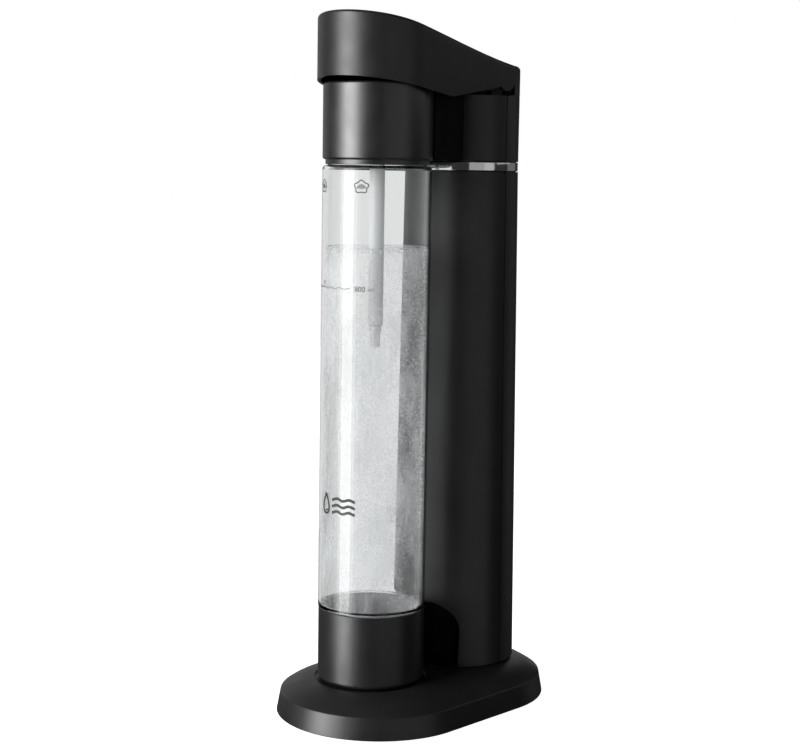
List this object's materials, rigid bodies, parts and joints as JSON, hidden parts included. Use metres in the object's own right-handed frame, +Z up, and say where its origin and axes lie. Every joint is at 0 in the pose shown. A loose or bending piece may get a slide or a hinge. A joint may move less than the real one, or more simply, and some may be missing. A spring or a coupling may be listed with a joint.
{
  "type": "soda carbonator",
  "caption": "Counter-top soda maker: an oval foot, a gas column with a chrome band, a tilting head over a clear bottle and a hinged press lever.",
  "frame": {"origin": "middle of the footprint on the surface that the machine stands on", "axes": "+Z up; -Y towards the bottle and the front, +Y towards the gas column and the rear; +X to the right seen from the front"},
  "size_m": [0.1276, 0.1946, 0.4374],
  "materials": {
    "black_satin": "satin moulded black plastic with a fine texture",
    "grey_plastic": "plain grey engineering plastic, hidden",
    "clear_plastic": "clear glossy PET",
    "chrome": "bright chrome trim",
    "steel": "plain turned and pressed steel",
    "brass": "machined brass",
    "cylinder_paint": "lacquered aluminium gas cylinder",
    "rubber": "black rubber"
  },
  "bodies": {
    "machine": {"base_plate": "black_satin", "base_screw_1": "steel", "base_screw_2": "steel", "base_screw_3": "steel", "base_screw_4": "steel", "base_shell": "black_satin", "block_screw_left": "steel", "block_screw_right": "steel", "column_shell": "black_satin", "cylinder_cradle": "black_satin", "foot_front_left": "rubber", "foot_front_right": "rubber", "foot_rear_left": "rubber", "foot_rear_right": "rubber", "gas_hose": "rubber", "hinge_bracket": "steel", "lever_pin": "steel", "press_spring": "steel", "tilt_pin": "steel", "trim_ring_front": "chrome", "upper_housing": "black_satin", "valve_block": "brass", "valve_bracket": "black_satin"},
    "lever": {"lever_cover": "black_satin", "lever_frame": "grey_plastic"},
    "plate": {"press_plate": "grey_plastic"},
    "gas": {"co2_cylinder": "cylinder_paint", "cylinder_valve": "brass", "valve_seal": "rubber"},
    "pin": {"valve_pin": "steel"},
    "cover": {"rear_cover": "black_satin", "trim_ring_rear": "chrome"},
    "head": {"head_shell": "black_satin", "bottle_collar": "grey_plastic", "bottle_seal": "rubber", "nozzle_manifold": "grey_plastic", "nozzle_tube": "clear_plastic", "nozzle_tip": "clear_plastic", "relief_valve": "steel"},
    "bottle": {"bottle_body": "clear_plastic", "bottle_cup": "black_satin"}
  },
  "joints": [
    {"name": "lever_press", "type": "hinge", "parent": "machine", "child": "lever", "pos_m": [0, 0.038, 0.402], "axis": [1, 0, 0], "range_deg": [0, 5], "stiffness_Nm_per_rad": 0.9, "springref_deg": -17.19},
    {"name": "plate_press", "type": "slide", "parent": "machine", "child": "plate", "axis": [0, 0, -1], "range_m": [0, 0.00125], "deforming": ["press_spring"]},
    {"name": "cylinder_unscrew", "type": "hinge", "parent": "machine", "child": "gas", "pos_m": [0, 0.0394, 0.2], "axis": [0, 0, 1], "continuous": true},
    {"name": "pin_press", "type": "slide", "parent": "gas", "child": "pin", "axis": [0, 0, -1], "range_m": [0, 0.00125]},
    {"name": "cover_pull", "type": "slide", "parent": "machine", "child": "cover", "axis": [0, 1, 0], "range_m": [0, 0.06]},
    {"name": "head_tilt", "type": "hinge", "parent": "machine", "child": "head", "pos_m": [0, 0, 0.388], "axis": [-1, 0, 0], "range_deg": [0, 8]},
    {"name": "bottle_twist", "type": "hinge", "parent": "head", "child": "bottle", "pos_m": [0, -0.0394, 0.2], "axis": [0, 0, 1], "range_deg": [0, 30]}
  ],
  "couplings": [
    {"joint": "plate_press", "follows": "lever_press", "m_per_rad": 0.0139},
    {"joint": "pin_press", "follows": "lever_press", "m_per_rad": 0.0139}
  ]
}
